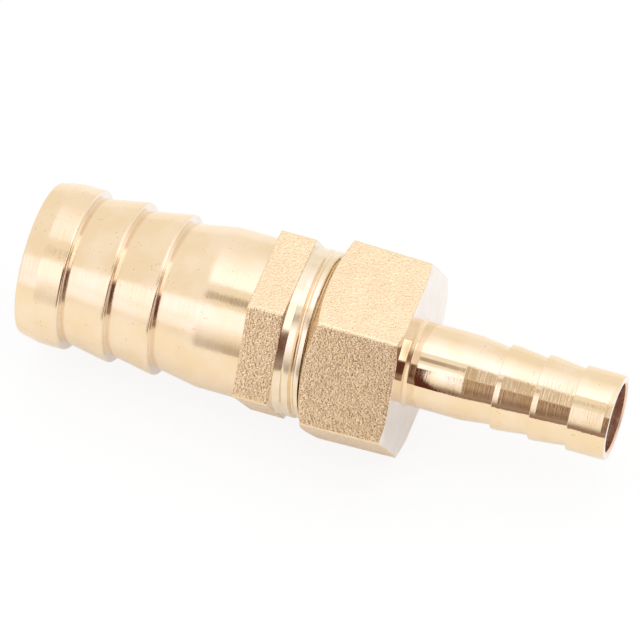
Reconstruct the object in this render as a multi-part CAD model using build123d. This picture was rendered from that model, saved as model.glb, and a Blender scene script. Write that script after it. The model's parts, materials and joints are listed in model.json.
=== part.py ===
from build123d import *
import math
import os

# A hose reducer in brass: a tail for a 25 mm hose, with a male pipe thread, made tight
# in the threaded socket of a second tail for a 13 mm hose. The flow runs along +X from
# the middle of the large mouth, and each hexagon has a flat downwards.
# Lengths are in millimetres and angles in degrees.

# Thread that joins the two tails, at its major diameter and without its fine groove
thread_diameter = 26.44
thread_clearance = 0.1
thread_length = 15.45
thread_lead = 1.2

# Large hose tail
large_crest_diameter = 25.5
large_barb_height = 1.25
large_wall = 1.5
large_barb_count = 3
large_barb_pitch = 7.38
large_crest_land = 0.5
large_edge_break = 0.2
nose_length = 3.2
nose_drop = 0.65
nose_land = 4.05
neck_diameter = 25.44
neck_taper_length = 7.0
neck_length = 7.65

# Small hose tail
small_crest_diameter = 13.3
small_barb_height = 0.6
small_wall = 0.65
small_barb_count = 3
small_barb_pitch = 6.0
small_crest_land = 0.9
small_end_land = 6.1
small_edge_break = 0.1
small_end_bevel_length = 0.9
small_end_bevel_drop = 0.1
small_mouth_chamfer = 0.27
stem_diameter = 13.3
stem_length = 8.9
stem_taper_length = 4.9
stem_base_bevel = 0.4

# Hexagon of the large tail, close to the thread in size
male_hex_flats = 26.5
male_hex_length = 5.7
male_hex_edge = 0.25
male_hex_chamfer_angle = 30
male_hex_chamfer = 0.3

# Hexagon of the small tail, forged with some draft round the threaded socket.
# Its flats are measured over the socket's mouth, where they are widest apart.
socket_depth = 11.1
socket_floor = 3.3
socket_wall = 1.37
female_hex_draft = 1.5
socket_rim = 0.25
socket_chamfer_angle = 24
back_chamfer = 1.6
back_chamfer_angle = 17.5

hex_corner_radius = 0.6

large_crest = large_crest_diameter / 2
large_foot = large_crest - large_barb_height
large_bore = large_foot - large_wall
small_crest = small_crest_diameter / 2
small_foot = small_crest - small_barb_height
small_bore = small_foot - small_wall
thread_radius = thread_diameter / 2
socket_radius = thread_radius + thread_clearance
female_hex_flats = 2 * (socket_radius + socket_wall)

first_large_crest_x = nose_length + nose_land
last_large_crest_x = first_large_crest_x + (large_barb_count - 1) * large_barb_pitch
neck_x = last_large_crest_x + neck_taper_length
male_hex_x = neck_x + neck_length
thread_x = male_hex_x + male_hex_length
thread_end_x = thread_x + thread_length
socket_x = thread_end_x - socket_depth
stem_x = thread_end_x + socket_floor
taper_x = stem_x + stem_length
first_small_crest_x = taper_x + stem_taper_length
last_small_crest_x = first_small_crest_x + (small_barb_count - 1) * small_barb_pitch
small_mouth_x = last_small_crest_x + small_end_land


def turned(outline):
    """Solid turned about the flow axis from points of (x, radius)."""
    with BuildPart() as piece:
        with BuildSketch(Plane.XZ):
            with BuildLine():
                Polyline(*outline, close=True)
            make_face()
        revolve(axis=Axis.X)
    return piece.part


def hexagon(flats, draft_angle, start_x, end_x):
    """Length of hexagon with a flat downwards, rounded corners and draft towards its end."""
    with BuildPart() as bar:
        with BuildSketch(Plane.YZ.offset(start_x)):
            RegularPolygon(flats / 2, 6, major_radius=False)
        extrude(amount=end_x - start_x)
        sides = bar.faces().filter_by(Axis.X, reverse=True)
        draft(sides, Plane.YZ.offset(start_x), draft_angle)
        long_edges = bar.edges().group_by(Axis.X)[1]
        fillet(long_edges, hex_corner_radius)
    return bar.part


def hexagon_reach(flats):
    """Radius that clears the corners of a hexagon."""
    return flats / math.sqrt(3)


def large_tail():
    """Outside of the large tail from its mouth to the end of its thread."""
    nose = large_crest - nose_drop
    outline = [(0, 0), (0, nose - large_edge_break), (large_edge_break, nose)]
    land_x = nose_length
    for barb in range(large_barb_count):
        crest_x = first_large_crest_x + barb * large_barb_pitch
        outline += [
            (land_x, large_crest),
            (crest_x - large_edge_break, large_crest),
            (crest_x, large_crest - large_edge_break),
            (crest_x, large_foot),
        ]
        land_x = crest_x + large_barb_pitch - large_crest_land
    outline += [
        (neck_x, neck_diameter / 2),
        (thread_x, neck_diameter / 2),
        (thread_x, thread_radius),
        (thread_end_x - thread_lead, thread_radius),
        (thread_end_x, thread_radius - thread_lead),
        (thread_end_x, 0),
    ]
    return turned(outline)


def small_tail():
    """Outside of the small tail from the floor of its socket to its mouth."""
    stem = stem_diameter / 2
    outline = [
        (thread_end_x, 0),
        (thread_end_x, stem + stem_base_bevel),
        (stem_x, stem + stem_base_bevel),
        (stem_x + stem_base_bevel, stem),
        (taper_x, stem),
    ]
    for barb in range(small_barb_count):
        crest_x = first_small_crest_x + barb * small_barb_pitch
        outline += [
            (crest_x, small_foot),
            (crest_x, small_crest - small_edge_break),
            (crest_x + small_edge_break, small_crest),
            (crest_x + small_crest_land, small_crest),
        ]
    outline.pop()
    outline += [
        (small_mouth_x - small_end_bevel_length, small_crest),
        (small_mouth_x, small_crest - small_end_bevel_drop),
        (small_mouth_x, 0),
    ]
    return turned(outline)


def male_hexagon():
    """Hexagon of the large tail, chamfered at its corners towards the thread."""
    reach = hexagon_reach(male_hex_flats)
    depth = male_hex_chamfer * math.tan(math.radians(male_hex_chamfer_angle))
    envelope = [
        (male_hex_x, 0),
        (male_hex_x, reach - male_hex_edge),
        (male_hex_x + male_hex_edge, reach),
        (thread_x - depth, reach),
        (thread_x, reach - male_hex_chamfer),
        (thread_x, 0),
    ]
    return hexagon(male_hex_flats, 0, male_hex_x, thread_x) & turned(envelope)


def female_hexagon():
    """Hexagon round the socket, with a wide chamfer at the thread and a slight one behind."""
    reach = hexagon_reach(female_hex_flats)
    narrowing = 2 * (stem_x - socket_x) * math.tan(math.radians(female_hex_draft))
    back = hexagon_reach(female_hex_flats - narrowing) - back_chamfer
    rim = socket_radius + socket_rim
    rim_depth = (reach - rim) * math.tan(math.radians(socket_chamfer_angle))
    back_depth = (reach - back) * math.tan(math.radians(back_chamfer_angle))
    envelope = [
        (socket_x, 0),
        (socket_x, rim),
        (socket_x + rim_depth, reach),
        (stem_x - back_depth, reach),
        (stem_x, back),
        (stem_x, 0),
    ]
    return hexagon(female_hex_flats, female_hex_draft, socket_x, stem_x) & turned(envelope)


def large_bore_cut():
    """Straight bore through the large tail."""
    return turned([
        (0, 0),
        (0, large_bore),
        (thread_end_x, large_bore),
        (thread_end_x, 0),
    ])


def small_bore_cut():
    """Threaded socket and the bore behind it, with its mouth chamfered."""
    return turned([
        (socket_x, 0),
        (socket_x, socket_radius),
        (thread_end_x, socket_radius),
        (thread_end_x, small_bore),
        (small_mouth_x - small_mouth_chamfer, small_bore),
        (small_mouth_x, small_bore + small_mouth_chamfer),
        (small_mouth_x, 0),
    ])


def large_barb_male_fitting():
    """Tail for the large hose, one turned piece."""
    return large_tail() + male_hexagon() - large_bore_cut()


def small_barb_female_fitting():
    """Tail for the small hose, one turned piece."""
    return small_tail() + female_hexagon() - small_bore_cut()


os.makedirs("parts", exist_ok=True)
export_step(large_barb_male_fitting(), "parts/large_barb_male_fitting.step")
export_step(small_barb_female_fitting(), "parts/small_barb_female_fitting.step")
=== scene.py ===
import bmesh
import bpy
import json
import math
import numpy as np
from mathutils import Matrix, Vector

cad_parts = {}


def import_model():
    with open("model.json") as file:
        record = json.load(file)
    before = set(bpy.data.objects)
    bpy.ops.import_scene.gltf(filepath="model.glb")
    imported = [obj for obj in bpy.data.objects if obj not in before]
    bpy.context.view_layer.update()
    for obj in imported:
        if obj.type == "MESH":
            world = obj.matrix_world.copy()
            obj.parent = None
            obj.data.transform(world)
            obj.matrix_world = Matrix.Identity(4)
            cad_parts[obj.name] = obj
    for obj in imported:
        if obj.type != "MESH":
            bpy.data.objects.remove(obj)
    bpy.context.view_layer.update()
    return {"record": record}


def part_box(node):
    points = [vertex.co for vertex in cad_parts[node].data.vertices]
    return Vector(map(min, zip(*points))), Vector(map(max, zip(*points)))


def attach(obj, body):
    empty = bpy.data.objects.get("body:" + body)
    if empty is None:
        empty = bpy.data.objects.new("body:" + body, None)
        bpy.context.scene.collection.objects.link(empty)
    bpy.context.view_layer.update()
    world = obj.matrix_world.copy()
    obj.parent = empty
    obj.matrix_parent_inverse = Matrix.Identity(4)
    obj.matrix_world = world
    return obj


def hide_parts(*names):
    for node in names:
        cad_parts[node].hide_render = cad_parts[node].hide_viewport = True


# Looks of a brass hose barb reducer: two turned and forged fittings screwed together.
# Sizes are in millimetres in the CAD frame, with x along the flow, unless a line says more.

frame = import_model()

MM = 0.001
MOUNTS = {m["name"]: m for m in frame["record"]["mounts"]}


def mount_radius(name):
    """Radius of a bore or pin of the record, in millimetres."""
    return MOUNTS[name]["dims"]["r_mm"]


def node_box(name):
    """Lowest and highest corner of a CAD node, in millimetres."""
    low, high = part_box(name)
    return np.array(low) / MM, np.array(high) / MM


MALE = "large_barb_male_fitting"
FEMALE = "small_barb_female_fitting"
_, male_high = node_box(MALE)
female_low, female_high = node_box(FEMALE)

# Large tail
LARGE_CREST = mount_radius("large_hose_land")
LARGE_BORE = mount_radius("large_bore")
LARGE_FOOT = 11.5
LARGE_FOOT_ROUNDING = 0.06
LARGE_EDGE_ROUNDING = 0.4
LARGE_CRESTS = (7.25, 14.63, 22.01)
LARGE_RISE_ENDS = (14.13, 21.51)
LARGE_RISE_ROUNDING = 0.5
NOSE_RADIUS = 12.1
NOSE_END = 3.2
NOSE_ROUNDING = 0.6
NECK_START = 29.01
NECK_RADIUS = 12.72
NECK_ROUNDING = 6.0

# Hexagon of the large tail
MALE_FLAT = float(male_high[2])
MALE_HEX_START = 36.66
MALE_HEX_END = 42.36
MALE_CHAMFER = 0.3
MALE_CHAMFER_ANGLE = 30.0

# Thread, a parallel pipe thread of 55 degrees with round crests and roots
THREAD_RADIUS = 13.22
THREAD_END = float(male_high[0])
THREAD_LEAD = 1.2
THREAD_PITCH = 1.814
THREAD_ROUNDING = 0.1373 * THREAD_PITCH
THREAD_HALF_ANGLE = math.radians(27.5)
THREAD_FLAT = 0.1

# Collar before the thread, and the run-out of its groove, from no depth to its full depth
COLLAR_END = MALE_HEX_END + 1.1
COLLAR_DROP = 0.27
THREAD_START = COLLAR_END + 0.12
RUN_OUT_START = 42.1
RUN_OUT_END = 47.6

# Place of a root of the thread on the side that is uppermost in the photograph
ROOT_PLACE = 44.58
ROOT_ANGLE = math.radians(38.8)

# Hexagon of the small tail, with draft towards its back
SOCKET_START = float(female_low[0])
SOCKET_CLEARANCE = 0.1
THREAD_SLACK = 0.03
SOCKET_RIM = 0.25
SOCKET_CHAMFER_ANGLE = 24.0
SOCKET_WALL = 1.37
SOCKET_CUT_WIDTH = 0.6
FEMALE_FLAT = THREAD_RADIUS + SOCKET_CLEARANCE + SOCKET_WALL
FEMALE_HEX_END = 61.11
FEMALE_DRAFT = 1.5
BACK_CHAMFER = 1.6
BACK_CHAMFER_ANGLE = 17.5

# Small tail
SMALL_CREST = mount_radius("small_hose_land")
SMALL_BORE = mount_radius("small_bore")
SMALL_FOOT = 6.05
SMALL_FOOT_ROUNDING = 0.05
SMALL_EDGE_ROUNDING = 0.1
SMALL_CRESTS = (74.91, 80.91, 86.91)
SMALL_LAND = 0.9
SMALL_LAND_ROUNDING = 0.5
STEM_BASE = 7.05
STEM_BASE_BEVEL = 0.4
STEM_BASE_ROUNDING = 0.25
TAPER_START = 70.01
TAPER_ROUNDING = 4.0
END_BEVEL_START = 92.11
END_BEVEL_DROP = 0.1
SMALL_END = float(female_high[0])
MOUTH_ROUNDING = 0.06
MOUTH_CHAMFER = 0.27

# Both hexagons
HEX_CORNER = 0.6
HEX_EDGE_ROUNDING = 0.16

# Mesh: columns round the axis and rows along it
SECTORS = 6
SECTOR = math.radians(60)
FLAT_COLUMNS = 38
CORNER_COLUMNS = 8
HEX_ROWS = 14
BORE_ROWS = 6
ARC_STEPS = 4
ARC_PLACES = np.linspace(0, 1, ARC_STEPS + 1)
MERGE_DISTANCE = 1e-8
SHARP_ANGLE = math.radians(40)

# Distance from a rounding to the row that holds the shading of the long face beside it,
# and the largest shares of a face that this row and the rounding itself may take
HOLD = 0.03
HOLD_SHARE = 0.04
ROUNDING_SHARE = 0.45

# Kinds of surface, in the order of a fitting's materials
TURNED, FORGED, FACED, THREAD, BORE = range(5)


# Outlines


def rounded(points):
    """Outline from points of (x, radius, rounding), with its corners rounded.
    A point close to each end of a rounding keeps the shading of long faces straight."""
    outline = []
    for index, (x, r, rounding) in enumerate(points):
        here = np.array((x, r))
        if rounding == 0:
            outline.append(here)
            continue
        sides = [np.array(points[index + step][:2]) - here for step in (-1, 1)]
        lengths = [np.linalg.norm(side) for side in sides]
        before, after = [side / length for side, length in zip(sides, lengths)]
        opening = math.acos(np.clip(before @ after, -1, 1))
        reach = min(rounding / math.tan(opening / 2), ROUNDING_SHARE * min(lengths))
        start, end = here + reach * before, here + reach * after
        hold_before, hold_after = [min(HOLD, HOLD_SHARE * length) for length in lengths]
        outline.append(start + hold_before * before)
        for t in ARC_PLACES:
            outline.append((1 - t) ** 2 * start + 2 * t * (1 - t) * here + t * t * end)
        outline.append(end + hold_after * after)
    return outline


def between(start, end, count):
    """Points strictly between two outline points."""
    start, end = np.array(start), np.array(end)
    return [start + (end - start) * k / (count + 1) for k in range(1, count + 1)]


def column_angles():
    """Angles round the axis, close together where the hexagons have their corners."""
    reach = FEMALE_FLAT / math.cos(SECTOR / 2)
    half = HEX_CORNER * math.sin(SECTOR / 2) / reach
    sector = list(np.linspace(-half, half, CORNER_COLUMNS + 1))
    sector += list(np.linspace(half, SECTOR - half, FLAT_COLUMNS + 1))[1:-1]
    return np.array([SECTOR * k + a for k in range(SECTORS) for a in sector])


ANGLES = column_angles()
COLUMNS = len(ANGLES)

# Angles of a threaded row, whose last column is the first one, a turn further
THREAD_ANGLES = np.append(ANGLES, ANGLES[0] + 2 * math.pi)


def hexagon_radius(flat):
    """Distance from the axis to a hexagon with rounded corners, for each column."""
    delta = (ANGLES + SECTOR / 2) % SECTOR - SECTOR / 2
    centre = (flat - HEX_CORNER) / math.cos(SECTOR / 2)
    arc_end = math.atan2(
        HEX_CORNER * math.sin(SECTOR / 2), centre + HEX_CORNER * math.cos(SECTOR / 2)
    )
    inside = np.maximum(HEX_CORNER ** 2 - (centre * np.sin(delta)) ** 2, 0)
    corner = centre * np.cos(delta) + np.sqrt(inside)
    side = flat / np.cos(SECTOR / 2 - np.abs(delta))
    return np.where(np.abs(delta) > arc_end, side, corner)


def convex_corners(normals, levels):
    """Corners of the region under lines, which are given by their normals and levels."""
    parallel, on_line = 1e-6, 1e-7
    corners = []
    for i in range(len(normals)):
        for j in range(i + 1, len(normals)):
            pair = normals[[i, j]]
            if abs(np.linalg.det(pair)) > parallel:
                corner = np.linalg.solve(pair, levels[[i, j]])
                if (normals @ corner <= levels + on_line).all():
                    corners.append(corner)
    return np.array(corners)


def convex_outline(lines, rounding, divided, parts, band=0):
    """Rounded outline of the region under lines of ((x, radius), normal angle).
    It has the same number of points for any such lines, so that columns can be joined.
    The line with the index divided gets its length divided into parts, and the one
    before it gets a point at the width of a band, where there is one."""
    normals = np.array([(math.sin(angle), math.cos(angle)) for _, angle in lines])
    levels = np.array([n @ np.array(p) - rounding for n, (p, _) in zip(normals, lines)])
    corners = convex_corners(normals, levels)

    def touch(angle, lean):
        """Place where the outline has a normal angle. The lean picks an end of a face."""
        aim = np.array((math.sin(angle + lean), math.cos(angle + lean)))
        corner = corners[np.argmax(corners @ aim)]
        return corner + rounding * np.array((math.sin(angle), math.cos(angle)))

    lean, shortest_run, widest_share = 1e-5, 1e-9, 0.9
    outline = []
    for index, (_, angle) in enumerate(lines):
        if index > 0:
            last = lines[index - 1][1]
            for t in ARC_PLACES[1:-1]:
                outline.append(touch(last + (angle - last) * t, 0))
            outline.append(touch(angle, -lean))
        if index < len(lines) - 1:
            face_end = touch(angle, lean)
            if index == divided:
                outline += between(outline[-1], face_end, parts - 1)
            if index == divided - 1 and band > 0:
                run = face_end - outline[-1]
                share = min(band / max(np.linalg.norm(run), shortest_run), widest_share)
                outline.append(outline[-1] + share * run)
            outline.append(face_end)
    return outline


def hexagon_table(start, end, start_flat, end_flat, cones, band=0):
    """Rows of (x, radius) over a hexagon, whose corners are cut by cones.
    Each cone is ((x, radius), angle of its normal from the radius towards +x)."""
    before = [cone for cone in cones if cone[1] < 0]
    behind = [cone for cone in cones if cone[1] > 0]
    front, back = ((start, 0), -math.pi / 2), ((end, 0), math.pi / 2)
    divided = 1 + len(before)
    columns = []
    for first, last in zip(hexagon_radius(start_flat), hexagon_radius(end_flat)):
        side = ((start, first), math.atan2(first - last, end - start))
        lines = [front, *before, side, *behind, back]
        columns.append(convex_outline(lines, HEX_EDGE_ROUNDING, divided, HEX_ROWS, band))
    return np.array(columns).transpose(1, 0, 2)


# Thread


def thread_shape():
    """Half width of the rounded crest, its height, and the whole depth."""
    arc = THREAD_ROUNDING * math.cos(THREAD_HALF_ANGLE)
    arc_height = THREAD_ROUNDING * (1 - math.sin(THREAD_HALF_ANGLE))
    flank = THREAD_PITCH / 2 - 2 * arc
    return arc, arc_height, 2 * arc_height + flank / math.tan(THREAD_HALF_ANGLE)


ARC, ARC_HEIGHT, THREAD_DEPTH = thread_shape()


def arc_drop(distance):
    """Depth of a round crest, or height of a round root, at a distance from its middle."""
    return THREAD_ROUNDING - np.sqrt(np.maximum(THREAD_ROUNDING ** 2 - distance ** 2, 0))


def thread_drop(offset):
    """Depth of the thread below its crest, from the distance to the middle of a crest."""
    from_crest = np.abs((offset + THREAD_PITCH / 2) % THREAD_PITCH - THREAD_PITCH / 2)
    from_root = THREAD_PITCH / 2 - from_crest
    flank = ARC_HEIGHT + (from_crest - ARC) / math.tan(THREAD_HALF_ANGLE)
    groove = np.where(from_root < ARC, THREAD_DEPTH - arc_drop(from_root), flank)
    return np.where(from_crest < ARC, arc_drop(from_crest), groove)


def thread_stations():
    """Places along one pitch, from a root, that keep the roots and crests round."""
    half = THREAD_PITCH / 2
    rise = [0, ARC / 2, ARC, half / 2, half - ARC, half - ARC / 2]
    return np.array(rise + [half + place for place in rise])


def root_place(angle):
    """Place along the axis of a root of the thread, which is right-handed."""
    return ROOT_PLACE + THREAD_PITCH * (angle - ROOT_ANGLE) / (2 * math.pi)


def thread_radius(x, angle):
    """Outside of the thread, whose crests are slightly flat, and wide where the groove
    runs out towards the collar."""
    drop = thread_drop(x - root_place(angle) - THREAD_PITCH / 2)
    share = np.clip((RUN_OUT_END - x) / (RUN_OUT_END - RUN_OUT_START), 0, 1)
    return THREAD_RADIUS - np.maximum(drop - THREAD_FLAT - share * THREAD_DEPTH, 0)


def spigot_radius(x, angle):
    """Outside of the spigot: its thread, and its chamfered end."""
    lead = THREAD_RADIUS - np.maximum(x - (THREAD_END - THREAD_LEAD), 0)
    return np.minimum(thread_radius(x, angle), lead)


def socket_radius(x, angle):
    """Inside of the socket: the same thread with some slack, cut back at its mouth."""
    mouth = THREAD_RADIUS + THREAD_SLACK - np.maximum(x - SOCKET_START, 0)
    return np.maximum(thread_radius(x, angle) + THREAD_SLACK, mouth)


def thread_table(start, end, radius_at):
    """Rows of (x, radius) that follow the thread between two places.
    They have one column more than the others: the first one, a turn further."""
    spare = 3
    turns = np.arange(-spare, (end - start) / THREAD_PITCH + spare + 1)
    first_turn = THREAD_PITCH * round((start - ROOT_PLACE) / THREAD_PITCH)
    places = (turns[:, None] * THREAD_PITCH + thread_stations()).ravel() + first_turn
    x = np.clip(places[:, None] + root_place(THREAD_ANGLES), start, end)
    inside = [k for k in range(len(x)) if (x[k] > start).any() and (x[k] < end).any()]
    x = x[inside[0] - 1:inside[-1] + 2]
    return np.stack((x, radius_at(x, THREAD_ANGLES)), axis=2)


# Meshes


class Skin:
    """Closed mesh made of rows of points round the axis, joined one after another."""

    def __init__(self):
        self.points = []
        self.faces = []
        self.kinds = []
        self.first = None
        self.last = None

    def add(self, row, kind):
        """Adds a row of (x, radius). A threaded row has one column more."""
        start = len(self.points)
        for (x, r), angle in zip(row, THREAD_ANGLES):
            self.points.append((x * MM, r * math.cos(angle) * MM, r * math.sin(angle) * MM))
        places = list(range(start, start + len(row)))
        if len(row) == COLUMNS:
            places.append(start)
        if self.last is None:
            self.first = places
        else:
            self.join(self.last, places, kind)
        self.last = places

    def join(self, left, right, kind):
        """Adds the faces between two rows."""
        for k in range(COLUMNS):
            self.faces.append((left[k], right[k], right[k + 1], left[k + 1]))
            self.kinds.append(kind)

    def table(self, table, kind):
        """Adds rows that have a point for each column."""
        for row in table:
            self.add(row, kind)

    def turned(self, outline, kind):
        """Adds round rows, one for each point of an outline."""
        self.table([np.full((COLUMNS, 2), point) for point in outline], kind)

    def tail(self, outline):
        """Turned tail, faced wherever it is steep."""
        x, r = outline[0]
        for point in outline:
            steep = abs(point[1] - r) > abs(point[0] - x)
            self.turned([point], FACED if steep else TURNED)
            x, r = point

    def piece(self, name, materials, end_kind):
        """Closes the skin and makes the object."""
        self.join(self.last, self.first, end_kind)
        mesh = bpy.data.meshes.new(name)
        mesh.from_pydata(self.points, [], self.faces)
        for material in materials:
            mesh.materials.append(material)
        mesh.polygons.foreach_set("material_index", self.kinds)
        work = bmesh.new()
        work.from_mesh(mesh)
        bmesh.ops.remove_doubles(work, verts=work.verts, dist=MERGE_DISTANCE)
        bmesh.ops.dissolve_degenerate(work, edges=work.edges, dist=MERGE_DISTANCE)
        bmesh.ops.recalc_face_normals(work, faces=work.faces)
        work.to_mesh(mesh)
        work.free()
        mesh.polygons.foreach_set("use_smooth", [True] * len(mesh.polygons))
        mesh.set_sharp_from_angle(angle=SHARP_ANGLE)
        piece = bpy.data.objects.new(name, mesh)
        bpy.context.scene.collection.objects.link(piece)
        return piece


def large_tail_outline():
    """Turned outside of the large tail, from its bore to its hexagon."""
    points = [
        (0, LARGE_BORE, 0),
        (0, NOSE_RADIUS, LARGE_EDGE_ROUNDING),
        (NOSE_END, LARGE_CREST, NOSE_ROUNDING),
    ]
    for k, crest in enumerate(LARGE_CRESTS):
        points += [
            (crest, LARGE_CREST, LARGE_EDGE_ROUNDING),
            (crest, LARGE_FOOT, LARGE_FOOT_ROUNDING),
        ]
        if k < len(LARGE_RISE_ENDS):
            points += [(LARGE_RISE_ENDS[k], LARGE_CREST, LARGE_RISE_ROUNDING)]
    points += [(NECK_START, NECK_RADIUS, NECK_ROUNDING), (MALE_HEX_START, NECK_RADIUS, 0)]
    return rounded(points)


def small_tail_outline():
    """Turned outside of the small tail, from its hexagon to its mouth."""
    points = [
        (FEMALE_HEX_END, STEM_BASE, 0),
        (FEMALE_HEX_END + STEM_BASE_BEVEL, SMALL_CREST, STEM_BASE_ROUNDING),
        (TAPER_START, SMALL_CREST, TAPER_ROUNDING),
    ]
    for k, crest in enumerate(SMALL_CRESTS):
        land_end = crest + SMALL_LAND if k < len(SMALL_CRESTS) - 1 else END_BEVEL_START
        points += [
            (crest, SMALL_FOOT, SMALL_FOOT_ROUNDING),
            (crest, SMALL_CREST, SMALL_EDGE_ROUNDING),
            (land_end, SMALL_CREST, SMALL_LAND_ROUNDING),
        ]
    points += [
        (SMALL_END, SMALL_CREST - END_BEVEL_DROP, MOUTH_ROUNDING),
        (SMALL_END, SMALL_BORE + MOUTH_CHAMFER, 0),
    ]
    return rounded(points)


def large_fitting(materials):
    """Tail for the large hose, with its hexagon and its male thread."""
    skin = Skin()
    skin.tail(large_tail_outline())
    cone = (
        (MALE_HEX_END, MALE_FLAT / math.cos(SECTOR / 2) - MALE_CHAMFER),
        math.radians(90 - MALE_CHAMFER_ANGLE),
    )
    table = hexagon_table(MALE_HEX_START, MALE_HEX_END, MALE_FLAT, MALE_FLAT, [cone])
    skin.table(table, FORGED)
    skin.turned([(MALE_HEX_END, THREAD_RADIUS)], FACED)
    skin.turned([(COLLAR_END, THREAD_RADIUS - COLLAR_DROP)], THREAD)
    skin.table(thread_table(THREAD_START, THREAD_END, spigot_radius), THREAD)
    bore_end = (THREAD_END, LARGE_BORE)
    skin.turned([bore_end], FACED)
    skin.turned(between(bore_end, (0, LARGE_BORE), BORE_ROWS), BORE)
    return skin.piece("large_tail_brass", materials, BORE)


def small_fitting(materials):
    """Tail for the small hose, with its hexagon round the threaded socket."""
    skin = Skin()
    skin.turned([(SOCKET_START, THREAD_RADIUS + THREAD_SLACK)], FACED)
    length = FEMALE_HEX_END - SOCKET_START
    back_flat = FEMALE_FLAT - length * math.tan(math.radians(FEMALE_DRAFT))
    front_cone = (
        (SOCKET_START, THREAD_RADIUS + SOCKET_CLEARANCE + SOCKET_RIM),
        math.radians(SOCKET_CHAMFER_ANGLE - 90),
    )
    back_cone = (
        (FEMALE_HEX_END, back_flat / math.cos(SECTOR / 2) - BACK_CHAMFER),
        math.radians(90 - BACK_CHAMFER_ANGLE),
    )
    table = hexagon_table(
        SOCKET_START, FEMALE_HEX_END, FEMALE_FLAT, back_flat,
        [front_cone, back_cone], SOCKET_CUT_WIDTH,
    )
    # Cut at the front as far as a band of the chamfer, and behind from the back chamfer on
    front_rows, back_rows = ARC_STEPS + 2, 2 * ARC_STEPS - 2
    skin.table(table[:front_rows], FACED)
    skin.table(table[front_rows:-back_rows], FORGED)
    skin.table(table[-back_rows:], FACED)
    outline = small_tail_outline()
    skin.turned(outline[:1], FACED)
    skin.tail(outline[1:])
    bore_start, bore_end = (SMALL_END - MOUTH_CHAMFER, SMALL_BORE), (THREAD_END, SMALL_BORE)
    skin.turned([bore_start, *between(bore_start, bore_end, BORE_ROWS), bore_end], BORE)
    skin.turned([(THREAD_END, THREAD_RADIUS + THREAD_SLACK)], FACED)
    skin.table(thread_table(SOCKET_START, THREAD_END, socket_radius)[::-1], THREAD)
    return skin.piece("small_tail_brass", materials, THREAD)


# Materials
# Places, pitches and depths are in metres, and scales of noise are per metre.


TURNED_COLOURS = ((0.89, 0.685, 0.43, 1.0), (0.93, 0.74, 0.52, 1.0))
FORGED_COLOURS = ((0.97, 0.765, 0.49, 1.0), (0.9, 0.655, 0.39, 1.0))
# Pale colours of the faced cuts paint the whitish sheen that these faces show at a slant
FACED_SHEEN_COLOURS = ((0.86, 0.77, 0.7, 1.0), (0.9, 0.83, 0.77, 1.0))
THREAD_COLOURS = ((0.87, 0.71, 0.49, 1.0), (0.91, 0.77, 0.58, 1.0))
# Darker, redder colours of the bore paint its shade and the reddish light bounced inside it
BORE_SHADE_COLOURS = ((0.84, 0.56, 0.42, 1.0), (0.9, 0.67, 0.53, 1.0))
# Dark colour of the blasted pits, which also paints shade on the hexagons' side flats
PIT_AND_SHADE_COLOUR = (0.5, 0.28, 0.14, 1.0)
SPECK_COLOUR = (0.42, 0.24, 0.12, 1.0)

# Stretch of the stem with the finest polish, and the distances from its middle over
# which the polish ends
POLISHED_PLACE = 0.0632
POLISHED_EDGE = (0.003, 0.006)

# Stretch over which the gloss grows, from the large tail to the small one
GLOSS_RISE = (0.028, 0.062)

# Distance from a hexagon's corner over which its skin is rubbed, as a share of a flat
RUBBED_EDGE = (0.006, 0.032)


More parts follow.
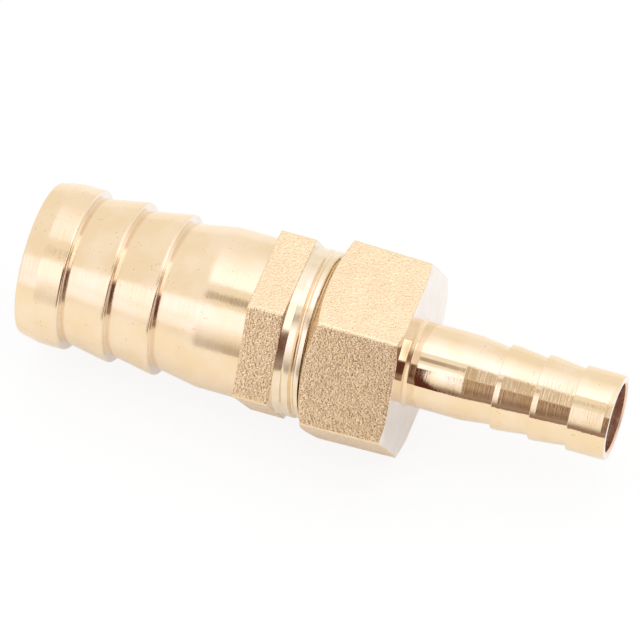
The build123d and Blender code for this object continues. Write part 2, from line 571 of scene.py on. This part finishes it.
class Finish:
    """Material of brass, with short calls that add its nodes."""

    def __init__(self, name):
        self.material = bpy.data.materials.new(name)
        self.material.use_nodes = True
        self.tree = self.material.node_tree
        self.shader = self.tree.nodes["Principled BSDF"]
        self.shader.inputs["Metallic"].default_value = 1.0
        self.normal = None

    def set(self, socket, value):
        """Links a socket to another, or gives it a constant value."""
        if isinstance(value, bpy.types.NodeSocket):
            self.tree.links.new(value, socket)
        else:
            socket.default_value = value

    def node(self, kind, inputs, output=0, **settings):
        """Adds a node and gives one of its outputs."""
        node = self.tree.nodes.new(kind)
        for key, value in settings.items():
            setattr(node, key, value)
        for key, value in inputs.items():
            self.set(node.inputs[key], value)
        return node.outputs[output]

    def math(self, operation, *values):
        return self.node("ShaderNodeMath", dict(enumerate(values)), operation=operation)

    def place(self):
        """Place on the part."""
        return self.node("ShaderNodeTexCoord", {}, output="Object")

    def parts(self, vector):
        """The x, y and z of a vector."""
        split = self.tree.nodes.new("ShaderNodeSeparateXYZ")
        self.tree.links.new(vector, split.inputs[0])
        return split.outputs

    def round_place(self):
        """Place along the axis, distance from it and angle round it."""
        along, across, up = self.parts(self.place())
        flat = self.node("ShaderNodeCombineXYZ", {"Y": across, "Z": up})
        radius = self.node(
            "ShaderNodeVectorMath", {0: flat}, output="Value", operation="LENGTH"
        )
        return along, radius, self.math("ARCTAN2", up, across)

    def noise(self, vector, scale, detail=2.0, roughness=0.5):
        return self.node("ShaderNodeTexNoise", {
            "Vector": vector, "Scale": scale, "Detail": detail, "Roughness": roughness,
        })

    def ramp(self, value, span, result=(0.0, 1.0)):
        """Value that goes smoothly from one end of a result to the other, while another
        value goes over a span."""
        inputs = {"Value": value, 1: span[0], 2: span[1], 3: result[0], 4: result[1]}
        return self.node("ShaderNodeMapRange", inputs, interpolation_type="SMOOTHSTEP")

    def mix(self, factor, first, second):
        """Colour between two others."""
        node = self.tree.nodes.new("ShaderNodeMix")
        node.data_type = "RGBA"
        for name, value in {"Factor": factor, "A": first, "B": second}.items():
            self.set([s for s in node.inputs if s.name == name and s.enabled][0], value)
        return [s for s in node.outputs if s.enabled][0]

    def bump(self, height, distance, strength=1.0):
        """Adds relief on top of the relief that is there."""
        inputs = {"Height": height, "Distance": distance, "Strength": strength}
        if self.normal is not None:
            inputs["Normal"] = self.normal
        self.normal = self.node("ShaderNodeBump", inputs)

    def colour(self, value):
        self.set(self.shader.inputs["Base Color"], value)

    def roughness(self, value):
        self.set(self.shader.inputs["Roughness"], value)

    def done(self):
        """Links the relief and gives the material."""
        if self.normal is not None:
            self.set(self.shader.inputs["Normal"], self.normal)
        return self.material

    def brushed_round(self, amount):
        """Gloss drawn out along the axis, across the marks of turning."""
        quarter_turn = 0.25
        tangent = self.node("ShaderNodeTangent", {}, direction_type="RADIAL", axis="X")
        self.set(self.shader.inputs["Anisotropic"], amount)
        self.set(self.shader.inputs["Anisotropic Rotation"], quarter_turn)
        self.set(self.shader.inputs["Tangent"], tangent)

    def tool_marks(self, across, angle, pitch, depth, strength=1.0, wander=0.6):
        """Fine marks of a turning tool, which follow the turn and vary along it."""
        lane = self.node("ShaderNodeCombineXYZ", {
            "X": self.math("DIVIDE", across, pitch),
            "Y": self.math("MULTIPLY", angle, wander),
        })
        marks = self.noise(lane, scale=1.0, detail=3.0, roughness=0.6)
        self.bump(marks, depth, strength)
        return marks

    def specks(self, scale, size, crowd_scale=0.31, crowd=(0.54, 0.64)):
        """Few small dark pits, which stand in loose crowds."""
        inputs = {"Vector": self.place(), "Scale": scale, "Randomness": 1.0}
        near = self.node("ShaderNodeTexVoronoi", inputs, output="Distance")
        few = self.noise(self.place(), crowd_scale * scale, detail=1.0)
        pit = self.ramp(near, (0.0, size), (1.0, 0.0))
        return self.math("MULTIPLY", pit, self.ramp(few, crowd))

    def pit_shade_by_facing(self, side=0.7, top=0.26):
        """Share of the pits that show, larger on flats that face the side than on top,
        which paints shade on the side flats.
        """
        normal = self.node("ShaderNodeTexCoord", {}, output="Normal")
        upward = self.math("ABSOLUTE", self.parts(normal)[2])
        return self.ramp(upward, (0.6, 0.9), (side, top))


def turned_brass():
    """Bright turned brass of the two tails."""
    finish = Finish("turned_brass")
    along, _, angle = finish.round_place()
    patches = finish.noise(finish.place(), scale=160.0, detail=3.0)
    off = finish.math("ABSOLUTE", finish.math("SUBTRACT", along, POLISHED_PLACE))
    relief = finish.ramp(off, POLISHED_EDGE, (0.12, 1.0))
    marks = finish.tool_marks(along, angle, pitch=4.5e-4, depth=1.6e-5, strength=relief)
    finish.tool_marks(along, angle, pitch=1.8e-4, depth=5.0e-6, strength=relief)
    dents = finish.noise(finish.place(), scale=700.0, detail=3.0, roughness=0.6)
    finish.bump(dents, distance=1.6e-5, strength=relief)
    base = finish.mix(finish.ramp(patches, (0.35, 0.68)), *TURNED_COLOURS)
    specks = finish.math("MULTIPLY", finish.specks(scale=1350.0, size=0.27), 0.6)
    finish.colour(finish.mix(specks, base, SPECK_COLOUR))
    rough = finish.ramp(finish.math("ADD", patches, marks), (0.7, 1.3), (0.13, 0.23))
    small_tail = finish.ramp(along, GLOSS_RISE, (1.0, 0.5))
    polished = finish.ramp(off, POLISHED_EDGE, (0.5, 1.0))
    gloss = finish.math("MULTIPLY", small_tail, polished)
    finish.roughness(finish.math("MULTIPLY", rough, gloss))
    finish.brushed_round(0.5)
    return finish.done()


def forged_brass():
    """Sandblasted skin of the forged hexagons, rubbed smoother and brighter at corners. Its
    dark pits also paint shade, more on flats that face the side than on top.
    """
    finish = Finish("forged_brass")
    _, _, angle = finish.round_place()
    from_corner = finish.math("PINGPONG", finish.math("DIVIDE", angle, SECTOR), 0.5)
    rubbed = finish.ramp(from_corner, RUBBED_EDGE, (0.6, 0.0))
    left = finish.math("SUBTRACT", 1.0, rubbed)
    waves = finish.noise(finish.place(), scale=300.0)
    grain = finish.noise(finish.place(), scale=3000.0, detail=1.5, roughness=0.6)
    fine = finish.noise(finish.place(), scale=6500.0, detail=1.0)
    finish.bump(waves, distance=3.0e-5)
    finish.bump(grain, distance=1.9e-4, strength=left)
    finish.bump(fine, distance=3.0e-5, strength=left)
    # Dark pits of the blasted skin, more of them on flats that face the side: partly real
    # pits, partly painted shade
    pits = finish.ramp(finish.math("ADD", grain, fine), (0.78, 1.12), (1.0, 0.0))
    pits_and_shade = finish.math("MULTIPLY", pits, finish.math("MULTIPLY", left, finish.pit_shade_by_facing()))
    base = finish.mix(finish.ramp(waves, (0.35, 0.65), (0.0, 0.35)), *FORGED_COLOURS)
    finish.colour(finish.mix(pits_and_shade, base, PIT_AND_SHADE_COLOUR))
    finish.roughness(finish.ramp(fine, (0.3, 0.7), (0.22, 0.32)))
    return finish.done()


def cut_brass(name, colours, roughness, patch_scale, pitch, depth, ringed=False):
    """Cut brass with slight patches and with tool marks round the axis, which lie beside
    one another along it or, on a ringed face, one round another."""
    finish = Finish(name)
    along, radius, angle = finish.round_place()
    finish.tool_marks(radius if ringed else along, angle, pitch, depth)
    patches = finish.noise(finish.place(), patch_scale, detail=3.0)
    finish.colour(finish.mix(finish.ramp(patches, (0.35, 0.65)), *colours))
    finish.roughness(finish.ramp(patches, (0.3, 0.7), roughness))
    return finish.done()


def faced_brass():
    """Flat faces cut across the axis, with fine rings, in pale colours that paint the
    whitish sheen of cut faces.
    """
    return cut_brass("faced_brass", FACED_SHEEN_COLOURS, roughness=(0.06, 0.11),
                     patch_scale=260.0, pitch=3.0e-4, depth=2.5e-6, ringed=True)


def thread_brass():
    """Cut flanks and crests of the thread, and its collar."""
    return cut_brass("thread_brass", THREAD_COLOURS, roughness=(0.13, 0.22),
                     patch_scale=400.0, pitch=2.0e-4, depth=4.0e-6)


def bore_brass():
    """Bored inside, darker and redder than the outside, which paints the shade and the
    reddish bounced light inside the bore.
    """
    return cut_brass("bore_brass", BORE_SHADE_COLOURS, roughness=(0.22, 0.34),
                     patch_scale=300.0, pitch=6.0e-4, depth=3.0e-5)


def materials():
    """Materials in the order of the kinds of surface."""
    return [turned_brass(), forged_brass(), faced_brass(), thread_brass(), bore_brass()]


# Studio
# Places and sizes are in metres, apart from those that say millimetres.


CAMERA_PLACE = Vector((208.1, -455.27, 641.2)) * MM
CAMERA_RIGHT = Vector((0.943229, 0.332126, -0.003373))
CAMERA_DOWN = Vector((0.262686, -0.752158, -0.604363))
CAMERA_FORWARD = Vector((-0.203262, 0.569166, -0.796702))
CAMERA_LENS = 295.3
CAMERA_SENSOR = 36.0
CAMERA_NEAR = 0.01
CAMERA_FAR = 100

# Cards of light and dark round the part. A span is in degrees over the front, from the
# low edge to the high one. A reach is in millimetres along x, from the left edge to the
# right one. Soft gives the low, high, left and right edges as shares of the card.
PANELS = {
    "light_above": dict(
        span=(84, 150), reach=(-110, 120), distance=0.3,
        colour=(1.58, 1.53, 1.85), soft=(0.04, 0.85, 0.35, 0.09),
    ),
    "light_front": dict(
        span=(14, 57), reach=(-460, 40), distance=0.5,
        colour=(1.42, 1.4, 1.68), soft=(0.5, 0.12, 0.3, 0.12),
    ),
    "light_low": dict(
        span=(2, 27), reach=(-470, -150), distance=0.52,
        colour=(1.3, 1.25, 1.45), soft=(0.45, 0.3, 0.2, 0.2),
    ),
    "light_right": dict(
        span=(48, 108), reach=(165, 420), distance=0.5,
        colour=(1.9, 1.85, 2.0), soft=(0.08, 0.05, 0.06, 0.1),
    ),
    "camera_dark": dict(
        span=(60, 75), reach=(-80, 60), distance=0.32,
        colour=(0.46, 0.4, 0.36), soft=(0.3, 0.3, 0.35, 0.45),
    ),
    "room_high": dict(
        span=(48, 82), reach=(45, 130), distance=0.48,
        colour=(0.6, 0.51, 0.41), soft=(0.1, 0.1, 0.15, 0.15),
    ),
    "room_right": dict(
        span=(12, 50), reach=(45, 600), distance=0.5,
        colour=(0.54, 0.42, 0.33), soft=(0.1, 0.05, 0.03, 0.1),
    ),
    "room_low": dict(
        span=(4, 34), reach=(40, 600), distance=0.49,
        colour=(0.26, 0.18, 0.14), soft=(0.05, 0.8, 0.1, 0.1),
    ),
    "room_far": dict(
        span=(4, 47), reach=(122, 620), distance=0.48,
        colour=(0.12, 0.05, 0.04), soft=(0.1, 0.05, 0.04, 0.1),
    ),
    "room_near": dict(
        span=(-7, 45), reach=(33, 48.5), distance=0.1,
        colour=(0.1, 0.03, 0.025), soft=(0.03, 0.1, 0.4, 0.02), lean=2.9,
    ),
}

FLOOR_HALF = 3.0
FLOOR_COLOUR = (0.95, 0.95, 0.95, 1)
FLOOR_ROUGHNESS = 0.9
FLOOR_SPECULAR = 0.1
FLOOR_GLOW = {"Is Camera Ray": 0.86, "Is Glossy Ray": 0.35, "Is Transmission Ray": 0.35}
LAMP_LEVEL = 0.6
LAMP_SIZE = 1.4
LAMP_PLACE = (0.05, 0.15, 1.2)
TABLE_EDGE_HEIGHT = 0.062


def camera():
    """Long lens from the right, in front and above, as in the photograph."""
    data = bpy.data.cameras.new("camera")
    data.sensor_width = CAMERA_SENSOR
    data.lens = CAMERA_LENS
    data.clip_start = CAMERA_NEAR
    data.clip_end = CAMERA_FAR
    camera = bpy.data.objects.new("camera", data)
    turn = Matrix((CAMERA_RIGHT, -CAMERA_DOWN, -CAMERA_FORWARD)).transposed()
    camera.matrix_world = Matrix.Translation(CAMERA_PLACE) @ turn.to_4x4()
    bpy.context.scene.collection.objects.link(camera)
    bpy.context.scene.camera = camera


def world():
    """White room."""
    world = bpy.data.worlds.new("studio")
    bpy.context.scene.world = world
    world.use_nodes = True
    world.node_tree.nodes["Background"].inputs["Color"].default_value = (1, 1, 1, 1)
    world.node_tree.nodes["Background"].inputs["Strength"].default_value = 1.0


def sheet(name, corners, material):
    """Flat object with four corners."""
    mesh = bpy.data.meshes.new(name)
    mesh.from_pydata(corners, [], [(0, 1, 2, 3)])
    mesh.materials.append(material)
    return bpy.data.objects.new(name, mesh)


def add_glow(material, share, shader, colour=(1, 1, 1)):
    """Makes a share of a material glow and leaves the rest to its shader."""
    nodes, links = material.node_tree.nodes, material.node_tree.links
    glow = nodes.new("ShaderNodeEmission")
    glow.inputs["Color"].default_value = (*colour, 1)
    glow.inputs["Strength"].default_value = 1.0
    mix = nodes.new("ShaderNodeMixShader")
    links.new(share, mix.inputs[0])
    links.new(shader.outputs[0], mix.inputs[1])
    links.new(glow.outputs[0], mix.inputs[2])
    links.new(mix.outputs[0], nodes["Material Output"].inputs["Surface"])


def card_material(name, colour, soft, across="X", rise="Y"):
    """Light of one colour that fades out towards the edges of a card."""
    material = bpy.data.materials.new(name)
    material.use_nodes = True
    nodes, links = material.node_tree.nodes, material.node_tree.links
    nodes.remove(nodes["Principled BSDF"])
    place = nodes.new("ShaderNodeTexCoord").outputs["Generated"]
    split = nodes.new("ShaderNodeSeparateXYZ")
    links.new(place, split.inputs[0])
    low, high, left, right = soft
    cover = None
    for axis, first, last in ((across, left, right), (rise, low, high)):
        for span, result in (((0.0, first), (0.0, 1.0)), ((1.0 - last, 1.0), (1.0, 0.0))):
            edge = nodes.new("ShaderNodeMapRange")
            edge.interpolation_type = "SMOOTHSTEP"
            links.new(split.outputs[axis], edge.inputs["Value"])
            for number, value in enumerate((*span, *result), start=1):
                edge.inputs[number].default_value = value
            if cover is None:
                cover = edge.outputs[0]
            else:
                both = nodes.new("ShaderNodeMath")
                both.operation = "MULTIPLY"
                links.new(cover, both.inputs[0])
                links.new(edge.outputs[0], both.inputs[1])
                cover = both.outputs[0]
    add_glow(material, cover, nodes.new("ShaderNodeBsdfTransparent"), colour)
    return material


def hide_card(card):
    """Leaves a card to the metal's reflections alone."""
    card.visible_camera = False
    card.visible_diffuse = False
    card.visible_shadow = False
    bpy.context.scene.collection.objects.link(card)


def panel(name, span, reach, distance, colour, soft, lean=0):
    """Card that faces the axis. Its right edge leans to the left by some millimetres."""
    middle, half = math.radians(sum(span) / 2), math.radians((span[1] - span[0]) / 2)
    out = Vector((0, -math.cos(middle), math.sin(middle)))
    side = Vector((1, 0, 0))
    rise = out.cross(side)
    width, height = (reach[1] - reach[0]) * MM / 2, distance * math.tan(half)
    corners = [(-width, -height, 0), (width, -height, 0),
               (width - lean * MM, height, 0), (-width, height, 0)]
    card = sheet(name, corners, card_material(name, colour, soft))
    turn = Matrix((side, rise, out)).transposed()
    place = distance * out + Vector((sum(reach) * MM / 2, 0, 0))
    card.matrix_world = Matrix.Translation(place) @ turn.to_4x4()
    hide_card(card)


def upright_card(name, start, end, heights, colour, soft):
    """Upright card between two places of (x, y), from its low to its high edge."""
    (x0, y0), (x1, y1), (low, high) = start, end, heights
    corners = [(x0, y0, low), (x1, y1, low), (x1, y1, high), (x0, y0, high)]
    across = "X" if x0 != x1 else "Y"
    hide_card(sheet(name, corners, card_material(name, colour, soft, across, "Z")))


def floor_lamp():
    """Large soft lamp overhead, for the floor and the shadow on it."""
    data = bpy.data.lights.new("lamp_above", "AREA")
    data.shape = "SQUARE"
    data.size = LAMP_SIZE
    data.energy = LAMP_LEVEL * math.pi * data.size ** 2
    lamp = bpy.data.objects.new("lamp_above", data)
    lamp.location = LAMP_PLACE
    lamp.visible_camera = False
    lamp.visible_glossy = False
    bpy.context.scene.collection.objects.link(lamp)


def floor_material():
    """White that keeps the part's shadow and glows a little, to look as pale as a sweep."""
    material = bpy.data.materials.new("floor_white")
    material.use_nodes = True
    nodes, links = material.node_tree.nodes, material.node_tree.links
    shader = nodes["Principled BSDF"]
    shader.inputs["Base Color"].default_value = FLOOR_COLOUR
    shader.inputs["Roughness"].default_value = FLOOR_ROUGHNESS
    shader.inputs["Specular IOR Level"].default_value = FLOOR_SPECULAR
    rays = nodes.new("ShaderNodeLightPath")
    share = None
    for ray, glow_share in FLOOR_GLOW.items():
        seen = nodes.new("ShaderNodeMath")
        seen.operation = "MULTIPLY_ADD"
        links.new(rays.outputs[ray], seen.inputs[0])
        seen.inputs[1].default_value = glow_share
        if share is None:
            seen.inputs[2].default_value = 0.0
        else:
            links.new(share, seen.inputs[2])
        share = seen.outputs[0]
    add_glow(material, share, shader)
    return material


def floor(height):
    """Plain white floor under the part, with a soft shadow."""
    half = FLOOR_HALF
    corners = [(-half, -half, height), (half, -half, height),
               (half, half, height), (-half, half, height)]
    floor = sheet("floor", corners, floor_material())
    bpy.context.scene.collection.objects.link(floor)


def studio(floor_height):
    """Soft light from overhead and from the left, and the darker room elsewhere."""
    for name, settings in PANELS.items():
        panel(name, **settings)
    upright_card(
        "table_edge", start=(-0.06, -0.14), end=(0.17, -0.14),
        heights=(floor_height, floor_height + TABLE_EDGE_HEIGHT),
        colour=(0.33, 0.24, 0.2), soft=(0.02, 0.75, 0.5, 0.1),
    )
    upright_card(
        "room_side", start=(0.6, -0.7), end=(0.6, 0.15), heights=(0.02, 0.75),
        colour=(0.3, 0.2, 0.15), soft=(0.1, 0.1, 0.1, 0.2),
    )
    floor_lamp()
    floor(floor_height)


camera()
finishes = materials()
for piece, node, slot in (
    (large_fitting(finishes), MALE, "large_tail_brass"),
    (small_fitting(finishes), FEMALE, "small_tail_brass"),
):
    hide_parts(node)
    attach(piece, "root")
world()
studio(float(female_low[2]) * MM)

bpy.context.scene.view_settings.view_transform = "Standard"
